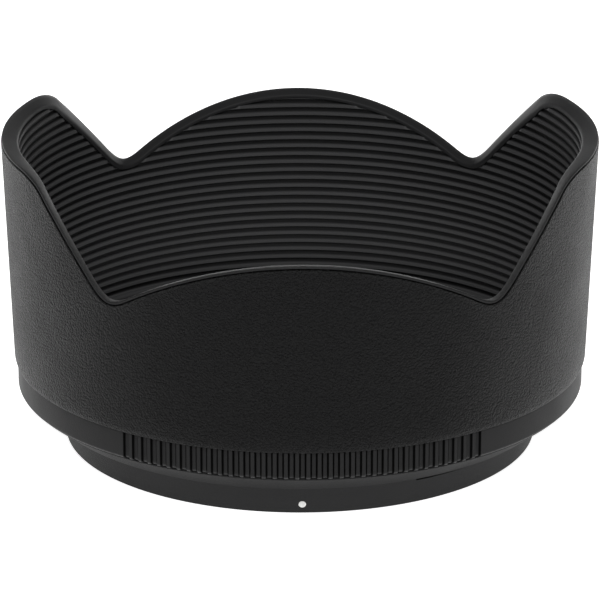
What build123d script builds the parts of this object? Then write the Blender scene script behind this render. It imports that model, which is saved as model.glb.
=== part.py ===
"""Petal lens hood with a ribbed liner, a serrated grip band and a three-lug bayonet collar.

Frame: millimetres, +Z along the optical axis and away from the lens, origin at the centre of
the collar's rear face, -Y towards the index dot. Angles are measured from the dot towards +X.
"""

from build123d import *
import math
import os

# ---------------------------------------------------------------- driving dimensions
# Collar that slides over the front of the lens
COLLAR_RADIUS = 41.2
BORE_RADIUS = 38.8  # the land that guides the hood onto the lens, below the lugs
RELIEF_RADIUS = 39.3  # the wider bore above the land, where the lugs and springs work
COLLAR_EDGE = 0.25
COLLAR_TOP_RADIUS = 42.3  # the wall leans out up to the shoulder
COLLAR_HEIGHT = 5.6
SHOULDER_FOOT_RADIUS = 44.5
SHOULDER_FOOT_HEIGHT = 5.8
SHOULDER_RADIUS = 48.7
SHOULDER_HEIGHT = 9.2
FLANGE_TOP = 9.9
CORE_INNER_RADIUS = 41.0  # coring trough in the top of the ring, closed by the liner's floor
CORE_BOTTOM = 7.6
CORE_SLOPE_RADIUS = 43.8
CORE_SLOPE_HEIGHT = 9.0
CORE_OUTER_RADIUS = 45.4
SCREW_BOSS_RADIUS = 2.5

# Grip band round the shoulder
GRIP_RADIUS = 49.4
GRIP_TOP = 14.0
GRIP_BOTTOM = SHOULDER_HEIGHT
GRIP_EDGE = 0.6
SERRATIONS_PER_TURN = 168
SERRATIONS_PER_PATCH = 35
SERRATION_DEPTH = 0.4
SERRATION_DRAFT = 0.18  # how far each groove wall leans out, per side
FIT_GAP = 0.05  # radial gap at the bonded fits

# Flared barrel: the outer shell and the liner inside it
SHELL_RADIUS_AT_BASE = 49.37  # the outer cone carried down to z = 0
SHELL_TAPER = 0.0381  # radius gained per millimetre of height
SHELL_WALL = 1.4
SHELL_HEM = 0.45  # radial size of the chamfer at the shell's lower edge
SHELL_HEM_HEIGHT = 1.3
RIM_SETBACK = 0.15  # the rim lip stands this far inside the shell's skin

# Petal outline, the same along the whole of Y: an arch between two tall side petals
ARCH_HEIGHT = 46.85
ARCH_RADIUS = 52.0
SIDE_HEIGHT = 54.1
SIDE_GAP = 44.76  # where the straight flank would meet the side petal's flat top
FLANK_SLOPE = 1.455  # height gained per millimetre away from the arch
SIDE_CORNER_RADIUS = 5.3
NOTCH_RADIUS = 2.6
RIM_THICKNESS = 0.75  # of the lip above the ribs
CAP_THICKNESS = 0.4  # of the rim where it laps over the shell's edge
SEAM_GAP = 0.2  # open seam between the shell's edge and the cap
REACH = 62.0  # half the size of the cutting blocks

# Anti-reflection ribs inside the liner
RIB_PITCH = 1.53
RIB_DEPTH = 0.5
RIB_RECESS = 0.3  # the crests stand this far outside the rim lip
LIP_RADIUS_AT_BASE = 46.7  # the lip's inner cone carried down to z = 0
LIP_TAPER = 0.0267
RIB_START = 12.08
RIB_COUNT = 28
CREST_FLAT = 0.2  # half of each crest's flat, as a share of the pitch
ROOT_FLAT = 0.15  # half of each root's flat, as a share of the pitch

# Liner floor and its screws
FLOOR_TOP = 11.3
FLOOR_BORE_RADIUS = 40.0
SCREW_COUNT = 6
SCREW_CIRCLE_RADIUS = 43.4
SCREW_RADIUS = 0.8
SCREW_LENGTH = 3.4
SCREW_HEAD_RADIUS = 1.45
SCREW_FIRST_ANGLE = 16.0

# Bayonet lugs and the moulding windows above them
LUG_COUNT = 3
LUG_TIP_RADIUS = 37.9
LUG_BOTTOM = 3.1
LUG_TOP = 4.3
LUG_ROOT = 0.5  # how deep a lug is rooted in the wall
LUG_ANGLE = 38.0
FIRST_LUG_ANGLE = 46.0  # middle of the first lug

# Click springs: leaves of spring steel that stop the hood turning by itself
SPRING_THICKNESS = 0.3
SPRING_INNER_RADIUS = 39.2
SPRING_BOTTOM = 6.2
SPRING_HEIGHT = 2.6
SPRING_ANGLE = 22.0
SPRING_SCREW_ANGLE = 2.6  # from the leaf's fixed end
SPRING_BUMP_ANGLE = 18.6  # from the leaf's fixed end
SPRING_BUMP_RADIUS = 1.1
FIRST_SPRING_ANGLE = 106.0  # middle of the first leaf
POCKET_RADIUS = 40.2
POCKET_MARGIN = 0.2
POCKET_END_ANGLE = 1.2  # extra pocket length at each end
BOSS_RADIUS = 1.2
BOSS_GAP = 0.1
PIN_RADIUS = 0.6
PIN_HEAD_RADIUS = 1.15
PIN_HEAD_THICKNESS = 0.3
PIN_TIP_RADIUS = 40.8

# Index dot
DOT_RADIUS = 0.65
DOT_HEIGHT = 1.7
DOT_DEPTH = 0.35
DOT_RECESS = 0.04


# ---------------------------------------------------------------- helpers
def around(angle, radius=1.0):
    """The point at that angle from the index dot, towards +X."""
    turn = math.radians(angle)
    return (radius * math.sin(turn), -radius * math.cos(turn))


def shell_radius(height):
    return SHELL_RADIUS_AT_BASE + SHELL_TAPER * height


def lip_radius(height):
    return LIP_RADIUS_AT_BASE + LIP_TAPER * height


def collar_wall(height):
    """Radius of the collar's leaning outer wall."""
    lean = (COLLAR_TOP_RADIUS - COLLAR_RADIUS) / (COLLAR_HEIGHT - COLLAR_EDGE)
    return COLLAR_RADIUS + lean * (height - COLLAR_EDGE)


def sector(inner, outer, middle, span):
    """Adds a ring sector to the sketch in progress, its middle at that angle."""
    turns = (middle - span / 2, middle, middle + span / 2)
    near = [around(turn, inner) for turn in turns]
    far = [around(turn, outer) for turn in turns]
    with BuildLine() as outline:
        ThreePointArc(*near)
        Line(near[2], far[2])
        ThreePointArc(*far)
        Line(far[0], near[0])
    make_face(outline.edges())


def petal_zone(inset):
    """The space under the petal outline, with the outline moved inwards by inset."""
    flank_foot = SIDE_GAP - SIDE_HEIGHT / FLANK_SLOPE
    with BuildPart() as zone:
        with BuildSketch(Plane.XZ) as outline:
            Rectangle(2 * REACH, SIDE_HEIGHT, align=(Align.CENTER, Align.MIN))
            Polygon(
                (-flank_foot, 0),
                (flank_foot, 0),
                (SIDE_GAP, SIDE_HEIGHT),
                (-SIDE_GAP, SIDE_HEIGHT),
                align=None,
                mode=Mode.SUBTRACT,
            )
            top_corners = outline.vertices().group_by(Axis.Y)[-1].sort_by(Axis.X)
            fillet(top_corners[1:3], SIDE_CORNER_RADIUS)
            with Locations((0, ARCH_HEIGHT - ARCH_RADIUS)):
                Circle(ARCH_RADIUS)
            with Locations((0, SIDE_HEIGHT / 2)):
                Rectangle(2 * REACH, SIDE_HEIGHT, mode=Mode.INTERSECT)
            # the two notches are the lowest corners after the two at the bottom
            fillet(outline.vertices().sort_by(Axis.Y)[2:4], NOTCH_RADIUS)
            if inset:
                offset(amount=-inset)
        extrude(amount=REACH, both=True)
    return zone.part


outline_zone = petal_zone(0)
rim_zone = petal_zone(RIM_THICKNESS)
cap_zone = petal_zone(CAP_THICKNESS)
shell_zone = petal_zone(CAP_THICKNESS + SEAM_GAP)

# ---------------------------------------------------------------- outer shell
with BuildPart() as outer_shell:
    with BuildSketch(Plane.XZ):
        Polygon(
            (shell_radius(GRIP_TOP) - SHELL_WALL, GRIP_TOP),
            (shell_radius(GRIP_TOP) - SHELL_HEM, GRIP_TOP),
            (shell_radius(GRIP_TOP + SHELL_HEM_HEIGHT), GRIP_TOP + SHELL_HEM_HEIGHT),
            (shell_radius(SIDE_HEIGHT), SIDE_HEIGHT),
            (shell_radius(SIDE_HEIGHT) - SHELL_WALL, SIDE_HEIGHT),
            align=None,
        )
    revolve(axis=Axis.Z)
    add(shell_zone, mode=Mode.INTERSECT)
outer_shell.part.label = "outer_shell"

# ---------------------------------------------------------------- ribbed liner
grip_inner_radius = shell_radius(GRIP_TOP) - SHELL_WALL  # the band's bore runs on from the shell's
skirt_radius = grip_inner_radius - FIT_GAP
liner_gap = SHELL_WALL + FIT_GAP

# The hollow inside the liner's wall: one tooth of the saw for each rib
with BuildPart() as rib_hollow:
    with BuildSketch(Plane.XZ):
        with BuildLine():
            crest_flat = CREST_FLAT * RIB_PITCH
            root_flat = ROOT_FLAT * RIB_PITCH
            outline = [(0, FLOOR_TOP), (lip_radius(FLOOR_TOP) + RIB_RECESS, FLOOR_TOP)]
            for rib in range(RIB_COUNT):
                crest = RIB_START + rib * RIB_PITCH
                root = crest + RIB_PITCH / 2
                crest_radius = lip_radius(crest) + RIB_RECESS
                root_radius = lip_radius(root) + RIB_RECESS + RIB_DEPTH
                outline.append((crest_radius, crest - crest_flat))
                outline.append((crest_radius, crest + crest_flat))
                outline.append((root_radius, root - root_flat))
                outline.append((root_radius, root + root_flat))
            outline.append((0, outline[-1][1]))
            Polyline(*outline, close=True)
        make_face()
    revolve(axis=Axis.Z)
    add(rim_zone, mode=Mode.INTERSECT)

# The space that the outer shell takes up round the liner's wall
with BuildPart() as shell_space:
    with BuildSketch(Plane.XZ):
        Polygon(
            (shell_radius(GRIP_TOP) - liner_gap, GRIP_TOP),
            (REACH, GRIP_TOP),
            (REACH, SIDE_HEIGHT),
            (shell_radius(SIDE_HEIGHT) - liner_gap, SIDE_HEIGHT),
            align=None,
        )
    revolve(axis=Axis.Z)
    add(cap_zone, mode=Mode.INTERSECT)

with BuildPart() as ribbed_liner:
    with BuildSketch(Plane.XZ):
        Polygon(
            (FLOOR_BORE_RADIUS, FLANGE_TOP),
            (skirt_radius, FLANGE_TOP),
            (skirt_radius, GRIP_TOP),
            (shell_radius(GRIP_TOP) - RIM_SETBACK, GRIP_TOP),
            (shell_radius(SIDE_HEIGHT) - RIM_SETBACK, SIDE_HEIGHT),
            (lip_radius(SIDE_HEIGHT), SIDE_HEIGHT),
            (lip_radius(FLOOR_TOP), FLOOR_TOP),
            (FLOOR_BORE_RADIUS, FLOOR_TOP),
            align=None,
        )
    revolve(axis=Axis.Z)
    add(outline_zone, mode=Mode.INTERSECT)
    add(rib_hollow.part, mode=Mode.SUBTRACT)
    add(shell_space.part, mode=Mode.SUBTRACT)
    with Locations(Plane.XY.offset(FLOOR_TOP)):
        with PolarLocations(SCREW_CIRCLE_RADIUS, SCREW_COUNT, start_angle=SCREW_FIRST_ANGLE):
            CounterSinkHole(
                SCREW_RADIUS,
                SCREW_HEAD_RADIUS,
                depth=FLOOR_TOP - FLANGE_TOP,
                counter_sink_angle=90,
            )
ribbed_liner.part.label = "ribbed_liner"

# ---------------------------------------------------------------- grip band
serration_pitch = 360 / SERRATIONS_PER_TURN
groove_half_width = math.radians(serration_pitch) * GRIP_RADIUS / 4
groove_floor = GRIP_RADIUS - SERRATION_DEPTH
groove_mouth = GRIP_RADIUS + SERRATION_DEPTH
patch_angle = serration_pitch * SERRATIONS_PER_PATCH
with BuildPart() as grip_band:
    with BuildSketch(Plane.XY.offset(GRIP_BOTTOM)):
        Circle(GRIP_RADIUS)
        Circle(grip_inner_radius, mode=Mode.SUBTRACT)
    extrude(amount=GRIP_TOP - GRIP_BOTTOM)
    fillet(grip_band.edges().group_by(Axis.Z)[0].sort_by(SortBy.RADIUS)[-1], GRIP_EDGE)
    with BuildSketch(Plane.XY.offset(GRIP_BOTTOM)):
        for patch in (-90, 90):
            with PolarLocations(
                0,
                SERRATIONS_PER_PATCH,
                start_angle=patch - patch_angle / 2 + serration_pitch / 2,
                angular_range=patch_angle,
            ):
                Polygon(
                    (groove_floor, -groove_half_width + SERRATION_DRAFT),
                    (groove_floor, groove_half_width - SERRATION_DRAFT),
                    (groove_mouth, groove_half_width + SERRATION_DRAFT),
                    (groove_mouth, -groove_half_width - SERRATION_DRAFT),
                    align=None,
                )
    extrude(amount=GRIP_TOP - GRIP_BOTTOM, mode=Mode.SUBTRACT)
grip_band.part.label = "grip_band"

# ---------------------------------------------------------------- bayonet collar
lug_angles = [FIRST_LUG_ANGLE + turn * 360 / LUG_COUNT for turn in range(LUG_COUNT)]
spring_angles = [FIRST_SPRING_ANGLE + turn * 360 / LUG_COUNT for turn in range(LUG_COUNT)]
spring_middle = SPRING_BOTTOM + SPRING_HEIGHT / 2
spring_outer = SPRING_INNER_RADIUS + SPRING_THICKNESS
pin_angles = [angle - SPRING_ANGLE / 2 + SPRING_SCREW_ANGLE for angle in spring_angles]


def radial_plane(angle, radius, height):
    """A plane square to the radius at that angle, with its normal pointing outwards."""
    x, y = around(angle, radius)
    out_x, out_y = around(angle)
    return Plane(origin=(x, y, height), x_dir=(0, 0, 1), z_dir=(out_x, out_y, 0))


with BuildPart() as bayonet_collar:
    with BuildSketch(Plane.XZ):
        Polygon(
            (BORE_RADIUS, COLLAR_EDGE),
            (BORE_RADIUS + COLLAR_EDGE, 0),
            (COLLAR_RADIUS - COLLAR_EDGE, 0),
            (COLLAR_RADIUS, COLLAR_EDGE),
            (COLLAR_TOP_RADIUS, COLLAR_HEIGHT),
            (SHOULDER_FOOT_RADIUS, COLLAR_HEIGHT),
            (SHOULDER_FOOT_RADIUS, SHOULDER_FOOT_HEIGHT),
            (SHOULDER_RADIUS, SHOULDER_HEIGHT),
            (skirt_radius, SHOULDER_HEIGHT),
            (skirt_radius, FLANGE_TOP),
            (RELIEF_RADIUS, FLANGE_TOP),
            (RELIEF_RADIUS, LUG_BOTTOM),
            (BORE_RADIUS, LUG_BOTTOM),
            align=None,
        )
        Polygon(
            (CORE_INNER_RADIUS, FLANGE_TOP),
            (CORE_INNER_RADIUS, CORE_BOTTOM),
            (CORE_SLOPE_RADIUS, CORE_BOTTOM),
            (CORE_OUTER_RADIUS, CORE_SLOPE_HEIGHT),
            (CORE_OUTER_RADIUS, FLANGE_TOP),
            align=None,
            mode=Mode.SUBTRACT,
        )
    revolve(axis=Axis.Z)
    # lugs, rooted a little inside the wall, and the windows above them
    with BuildSketch(Plane.XY.offset(LUG_BOTTOM)):
        for angle in lug_angles:
            sector(LUG_TIP_RADIUS, RELIEF_RADIUS + LUG_ROOT, angle, LUG_ANGLE)
    extrude(amount=LUG_TOP - LUG_BOTTOM)
    with BuildSketch(Plane.XY.offset(LUG_TOP)):
        for angle in lug_angles:
            sector(LUG_TIP_RADIUS - 1, COLLAR_TOP_RADIUS + 1, angle, LUG_ANGLE)
    extrude(amount=COLLAR_HEIGHT - LUG_TOP, mode=Mode.SUBTRACT)
    # spring pockets, each with a boss under the leaf's screw
    with BuildSketch(Plane.XY.offset(SPRING_BOTTOM - POCKET_MARGIN)):
        for angle in spring_angles:
            sector(BORE_RADIUS - 1, POCKET_RADIUS, angle, SPRING_ANGLE + 2 * POCKET_END_ANGLE)
    extrude(amount=SPRING_HEIGHT + 2 * POCKET_MARGIN, mode=Mode.SUBTRACT)
    for angle in pin_angles:
        with BuildSketch(radial_plane(angle, spring_outer + BOSS_GAP, spring_middle)):
            Circle(BOSS_RADIUS)
        extrude(amount=POCKET_RADIUS - spring_outer)
        with BuildSketch(radial_plane(angle, spring_outer, spring_middle)):
            Circle(PIN_RADIUS)
        extrude(amount=PIN_TIP_RADIUS - spring_outer, mode=Mode.SUBTRACT)
    # bosses in the trough for the floor screws
    with Locations(Plane.XY.offset(FLANGE_TOP)):
        with PolarLocations(SCREW_CIRCLE_RADIUS, SCREW_COUNT, start_angle=SCREW_FIRST_ANGLE):
            Cylinder(
                SCREW_BOSS_RADIUS,
                FLANGE_TOP - CORE_BOTTOM,
                align=(Align.CENTER, Align.CENTER, Align.MAX),
            )
            Hole(SCREW_RADIUS, depth=SCREW_LENGTH - (FLOOR_TOP - FLANGE_TOP))
    # recess for the index dot
    with BuildSketch(radial_plane(0, collar_wall(DOT_HEIGHT) - DOT_DEPTH, DOT_HEIGHT)):
        Circle(DOT_RADIUS)
    extrude(amount=1, mode=Mode.SUBTRACT)
bayonet_collar.part.label = "bayonet_collar"

# ---------------------------------------------------------------- index dot
with BuildPart() as index_dot:
    with BuildSketch(radial_plane(0, collar_wall(DOT_HEIGHT) - DOT_DEPTH, DOT_HEIGHT)):
        Circle(DOT_RADIUS)
    extrude(amount=1)
    with Locations((0, 0, DOT_HEIGHT)):
        Cone(
            collar_wall(DOT_HEIGHT - DOT_RADIUS) - DOT_RECESS,
            collar_wall(DOT_HEIGHT + DOT_RADIUS) - DOT_RECESS,
            2 * DOT_RADIUS,
            mode=Mode.INTERSECT,
        )
index_dot.part.label = "index_dot"

# ---------------------------------------------------------------- floor screws
cross_width = 0.4
cross_depth = 0.5
with BuildPart() as floor_screws:
    with Locations(Plane.XY.offset(FLOOR_TOP)):
        with PolarLocations(SCREW_CIRCLE_RADIUS, SCREW_COUNT, start_angle=SCREW_FIRST_ANGLE):
            cone = SCREW_HEAD_RADIUS - SCREW_RADIUS
            Cylinder(SCREW_RADIUS, SCREW_LENGTH, align=(Align.CENTER, Align.CENTER, Align.MAX))
            Cone(
                SCREW_RADIUS,
                SCREW_HEAD_RADIUS,
                cone,
                align=(Align.CENTER, Align.CENTER, Align.MAX),
            )
            for turn in (0, 90):
                Box(
                    1.7 * SCREW_RADIUS,
                    cross_width,
                    cross_depth,
                    rotation=(0, 0, turn),
                    align=(Align.CENTER, Align.CENTER, Align.MAX),
                    mode=Mode.SUBTRACT,
                )
floor_screws.part.label = "floor_screws"

# ---------------------------------------------------------------- click springs
click_springs = []
for number, angle in enumerate(spring_angles, start=1):
    fixed_end = angle - SPRING_ANGLE / 2
    with BuildPart() as click_spring:
        with BuildSketch(Plane.XY.offset(SPRING_BOTTOM)):
            sector(SPRING_INNER_RADIUS, spring_outer, angle, SPRING_ANGLE)
            with Locations(around(fixed_end + SPRING_BUMP_ANGLE, SPRING_INNER_RADIUS)):
                Circle(SPRING_BUMP_RADIUS)
                Circle(SPRING_BUMP_RADIUS - SPRING_THICKNESS, mode=Mode.SUBTRACT)
            Circle(spring_outer, mode=Mode.INTERSECT)
        extrude(amount=SPRING_HEIGHT)
        hole_plane = radial_plane(
            fixed_end + SPRING_SCREW_ANGLE, SPRING_INNER_RADIUS - 1, spring_middle
        )
        with BuildSketch(hole_plane):
            Circle(PIN_RADIUS + 0.12)
        extrude(amount=2, mode=Mode.SUBTRACT)
    click_spring.part.label = f"click_spring_{number}"
    click_springs.append(click_spring)

# ---------------------------------------------------------------- spring screws
with BuildPart() as spring_screws:
    for angle in pin_angles:
        head_radius = SPRING_INNER_RADIUS - BOSS_GAP
        with BuildSketch(radial_plane(angle, head_radius - PIN_HEAD_THICKNESS, spring_middle)):
            Circle(PIN_HEAD_RADIUS)
        extrude(amount=PIN_HEAD_THICKNESS)
        with BuildSketch(radial_plane(angle, head_radius, spring_middle)):
            Circle(PIN_RADIUS)
        extrude(amount=PIN_TIP_RADIUS - head_radius)
spring_screws.part.label = "spring_screws"

# ---------------------------------------------------------------- export
os.makedirs("parts", exist_ok=True)
pieces = [
    outer_shell,
    ribbed_liner,
    grip_band,
    bayonet_collar,
    index_dot,
    floor_screws,
    spring_screws,
    *click_springs,
]
for piece in pieces:
    export_step(piece.part, f"parts/{piece.part.label}.step")
    print(piece.part.label, round(piece.part.volume, 1), "mm3", len(piece.part.solids()), "solids")
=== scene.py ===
"""Looks of a petal lens hood: grained skin, ribbed liner, serrated grip, bayonet collar.

Sizes are in millimetres and are turned into metres where a mesh is written. Turns are measured
from the index dot, which faces -Y, towards +X. Sections run up the outside, over the top and down
the inside, so that faces point outwards.
"""

import math
from collections import namedtuple

import bmesh
import bpy
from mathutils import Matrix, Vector


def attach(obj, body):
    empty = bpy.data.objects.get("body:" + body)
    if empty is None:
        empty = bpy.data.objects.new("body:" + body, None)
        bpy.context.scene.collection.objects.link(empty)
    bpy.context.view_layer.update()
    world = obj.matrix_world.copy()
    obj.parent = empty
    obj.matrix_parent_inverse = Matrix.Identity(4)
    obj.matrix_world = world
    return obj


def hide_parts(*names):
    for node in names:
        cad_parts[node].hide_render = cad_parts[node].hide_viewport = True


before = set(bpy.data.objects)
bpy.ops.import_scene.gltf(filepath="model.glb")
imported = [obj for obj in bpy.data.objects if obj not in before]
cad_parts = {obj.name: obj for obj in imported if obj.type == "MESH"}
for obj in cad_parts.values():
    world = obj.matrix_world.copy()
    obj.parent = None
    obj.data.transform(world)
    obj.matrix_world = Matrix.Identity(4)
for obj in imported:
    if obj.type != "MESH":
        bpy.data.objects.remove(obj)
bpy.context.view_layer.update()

MM = 0.001

# ---------------------------------------------------------------- sizes shared with the CAD part
SHELL_CONE = (49.37, 0.0381)  # radius at z = 0 and radius gained per millimetre of height
SHELL_WALL = 1.4
SHELL_BOTTOM = 14.0
HEM_STEP = 0.45
HEM_HEIGHT = 1.1
RIM_SETBACK = 0.15
CAP_THICKNESS = 0.4  # of the rim where it laps over the skin's edge
SEAM_GAP = 0.2
LIP_CONE = (46.7, 0.0267)
RIB_PITCH = 1.53
RIB_START = 12.08
RIB_COUNT = 28
RIB_DEPTH = 0.5
RIB_RECESS = 0.3
FLOOR_TOP = 11.3
FLOOR_BORE = 40.0
SKIRT_RADIUS = 48.45
FLANGE_TOP = 9.9

ARCH_HEIGHT = 46.85
ARCH_RADIUS = 52.0
SIDE_HEIGHT = 54.1
SIDE_GAP = 44.76
FLANK_SLOPE = 1.455
CORNER_RADIUS = 5.3
NOTCH_BLEND = 7.5  # how far apart the arch and the flank still pull on each other

GRIP_RADIUS = 49.4
GRIP_INNER = 48.5
GRIP_BOTTOM = 9.2
GRIP_TOP = 14.0
GRIP_EDGE = 0.6
GROOVE_DEPTH = 0.4
GROOVE_WALL = 0.36  # width that each sloping groove wall takes
SERRATIONS_PER_TURN = 168
SERRATIONS_PER_PATCH = 35

BORE_RADIUS = 38.8
RELIEF_RADIUS = 39.3
COLLAR_RADIUS = 41.2
COLLAR_EDGE = 0.25
COLLAR_TOP_RADIUS = 42.3
COLLAR_HEIGHT = 5.6
SHOULDER_START = 42.45
SHOULDER_FOOT = 44.3
SHOULDER_TOP = (48.5, 9.0)  # middle of the rounding where the slope ends
SHOULDER_EDGE = 0.2
RELIEF_EDGE = 0.2
WINDOW_RADIUS = 43.3
LUG_TIP = 37.9
LUG_BOTTOM = 3.1
LUG_TOP = 4.3
LUG_SPAN = 38.0
LUG_TURNS = (46.0, 166.0, 286.0)
LEAF_TURNS = (106.0, 226.0, 346.0)
LEAF_SPAN = 22.0
LEAF_MIDDLE = 39.35
LEAF_THICKNESS = 0.3
LEAF_BOTTOM = 6.2
LEAF_HEIGHT = 2.6
LEAF_SCREW_TURN = 2.6
LEAF_BUMP_TURN = 18.6
LEAF_BUMP_RISE = 1.1
LEAF_BUMP_TRIM = 0.95  # share of the rise that is used
LEAF_BUMP_REACH = 1.35  # from the bump's middle to where the leaf is plain again
LEAF_EDGE = 0.07
LEAF_HOLE_RADIUS = 0.72
LEAF_CLEARANCE = 0.1  # between the leaf and its screw's head or its post
POST_RADIUS = 1.2
POCKET_RADIUS = 40.2
POCKET_MARGIN = 0.2
POCKET_END_TURN = 1.2
SCREW_CIRCLE = 43.4
SCREW_FIRST_TURN = 16.0
DOT_RADIUS = 0.65
DOT_HEIGHT = 1.7

# ---------------------------------------------------------------- sizes that only the looks have
RIM_THICKNESS = 1.15  # of the lip above the ribs, which is thicker than the CAD part's
CUT_TURN = 0.42  # how far the petals' edges turn from lying along Y to lying along the radius
WALL_COLUMNS = 640
COLLAR_COLUMNS = 540
LEAF_COLUMNS = 132
FAR = 1000.0  # a height that no petal reaches, so the outline decides


# ---------------------------------------------------------------- small helpers
def around(turn, radius, height):
    """The point in metres at that turn in degrees."""
    a = math.radians(turn)
    return Vector((radius * math.sin(a), -radius * math.cos(a), height)) * MM


def steps(start, end, count):
    """count + 1 evenly spaced values."""
    return [start + (end - start) * i / count for i in range(count + 1)]


def corner(centre, radius, start, end, count=3):
    """Points on an arc of a section, its angles in degrees from +r towards +z."""
    cr, cz = centre
    angles = [math.radians(a) for a in steps(start, end, count)]
    return [(cr + radius * math.cos(a), cz + radius * math.sin(a)) for a in angles]


def new_object(name, mesh):
    piece = bpy.data.objects.new(name, mesh)
    bpy.context.scene.collection.objects.link(piece)
    return piece


def ring_mesh(name, turns, section):
    """A closed ring: the section's (radius, height) points at every turn, joined both ways."""
    rows = len(section)
    mesh = bpy.data.meshes.new(name)
    points = [around(turn, r, z) for turn in turns for r, z in section]
    faces = []
    for column in range(len(turns)):
        here = column * rows
        there = (column + 1) % len(turns) * rows
        for row in range(rows):
            above = (row + 1) % rows
            faces.append((here + row, there + row, there + above, here + above))
    mesh.from_pydata(points, [], faces)
    return mesh


def write_field(mesh, name, values):
    """Stores one number per point under that name."""
    field = mesh.attributes.new(name, "FLOAT", "POINT")
    field.data.foreach_set("value", values)


def soften(mesh, sharp_angle=40):
    """Smooth shading that breaks at real corners."""
    mesh.shade_smooth()
    mesh.set_sharp_from_angle(angle=math.radians(sharp_angle))


def evaluated_mesh(piece):
    """A plain mesh of the piece as its modifiers leave it."""
    bpy.context.view_layer.update()
    depsgraph = bpy.context.evaluated_depsgraph_get()
    return bpy.data.meshes.new_from_object(piece.evaluated_get(depsgraph))


def combined(name, mesh, other, operation):
    """The first mesh with the other one cut away from it or added to it."""
    piece = new_object(name, mesh)
    tool = new_object(name + "_tool", other)
    modifier = piece.modifiers.new("combine", "BOOLEAN")
    modifier.object = tool
    modifier.operation = operation
    modifier.solver = "EXACT"
    result = evaluated_mesh(piece)
    bpy.data.objects.remove(piece)
    bpy.data.objects.remove(tool)
    return result


def finished(name, mesh, body, nodes, material, sharp_angle=40):
    """A finished piece: it rides on its body and stands for its CAD nodes."""
    mesh.name = name
    mesh.materials.clear()
    mesh.materials.append(material)
    soften(mesh, sharp_angle)
    piece = new_object(name, mesh)
    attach(piece, body)
    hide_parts(*nodes)
    return piece


# ---------------------------------------------------------------- writing node trees
def add_node(tree, kind, inputs=None, **settings):
    """A node with its settings; an input is a value or another node's output."""
    node = tree.nodes.new(kind)
    for name, value in settings.items():
        setattr(node, name, value)
    for key, value in (inputs or {}).items():
        if isinstance(value, bpy.types.NodeSocket):
            tree.links.new(value, node.inputs[key])
        else:
            node.inputs[key].default_value = value
    return node


def calc(tree, operation, *values):
    """The result of a Math node."""
    node = add_node(tree, "ShaderNodeMath", dict(enumerate(values)), operation=operation)
    return node.outputs[0]


def field(tree, name):
    """A number stored on the base mesh."""
    node = add_node(
        tree, "GeometryNodeInputNamedAttribute", {"Name": name}, data_type="FLOAT"
    )
    return node.outputs["Attribute"]


def new_tree(name, inputs, outputs):
    """A geometry tree with named inputs, and the outputs of its input node."""
    tree = bpy.data.node_groups.new(name, "GeometryNodeTree")
    for label, kind in inputs.items():
        tree.interface.new_socket(label, in_out="INPUT", socket_type="NodeSocket" + kind)
    for label, kind in outputs.items():
        tree.interface.new_socket(label, in_out="OUTPUT", socket_type="NodeSocket" + kind)
    return tree, add_node(tree, "NodeGroupInput").outputs


def polar_position(tree, turn, radius, height):
    """The point in metres for a turn in degrees, a radius and a height."""
    angle = calc(tree, "RADIANS", turn)
    across = calc(tree, "MULTIPLY", radius, calc(tree, "SINE", angle))
    towards = calc(tree, "MULTIPLY", radius, calc(tree, "COSINE", angle))
    place = add_node(
        tree,
        "ShaderNodeCombineXYZ",
        {
            "X": calc(tree, "MULTIPLY", across, MM),
            "Y": calc(tree, "MULTIPLY", towards, -MM),
            "Z": calc(tree, "MULTIPLY", height, MM),
        },
    )
    return place.outputs["Vector"]


def close_tree(tree, geometry, material):
    """The last steps of every geometry tree."""
    solid = add_node(tree, "GeometryNodeRealizeInstances", {"Geometry": geometry})
    painted = add_node(
        tree,
        "GeometryNodeSetMaterial",
        {"Geometry": solid.outputs["Geometry"], "Material": material},
    )
    add_node(tree, "NodeGroupOutput", {"Geometry": painted.outputs["Geometry"]})


def grown(base, tree, values):
    """The plain mesh that a geometry tree makes from a base mesh."""
    holder = new_object("growing", base)
    modifier = holder.modifiers.new(tree.name, "NODES")
    modifier.node_group = tree
    for socket in tree.interface.items_tree:
        if socket.in_out == "INPUT" and socket.name in values:
            modifier[socket.identifier] = values[socket.name]
    mesh = evaluated_mesh(holder)
    holder.modifiers.remove(modifier)
    bpy.data.objects.remove(holder)
    return mesh


# ---------------------------------------------------------------- the petal outline as a rule
OUTLINE = {
    "Arch Height": ARCH_HEIGHT,
    "Arch Radius": ARCH_RADIUS,
    "Side Height": SIDE_HEIGHT,
    "Side Gap": SIDE_GAP,
    "Flank Slope": FLANK_SLOPE,
    "Corner Radius": CORNER_RADIUS,
    "Notch Blend": NOTCH_BLEND,
}


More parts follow.
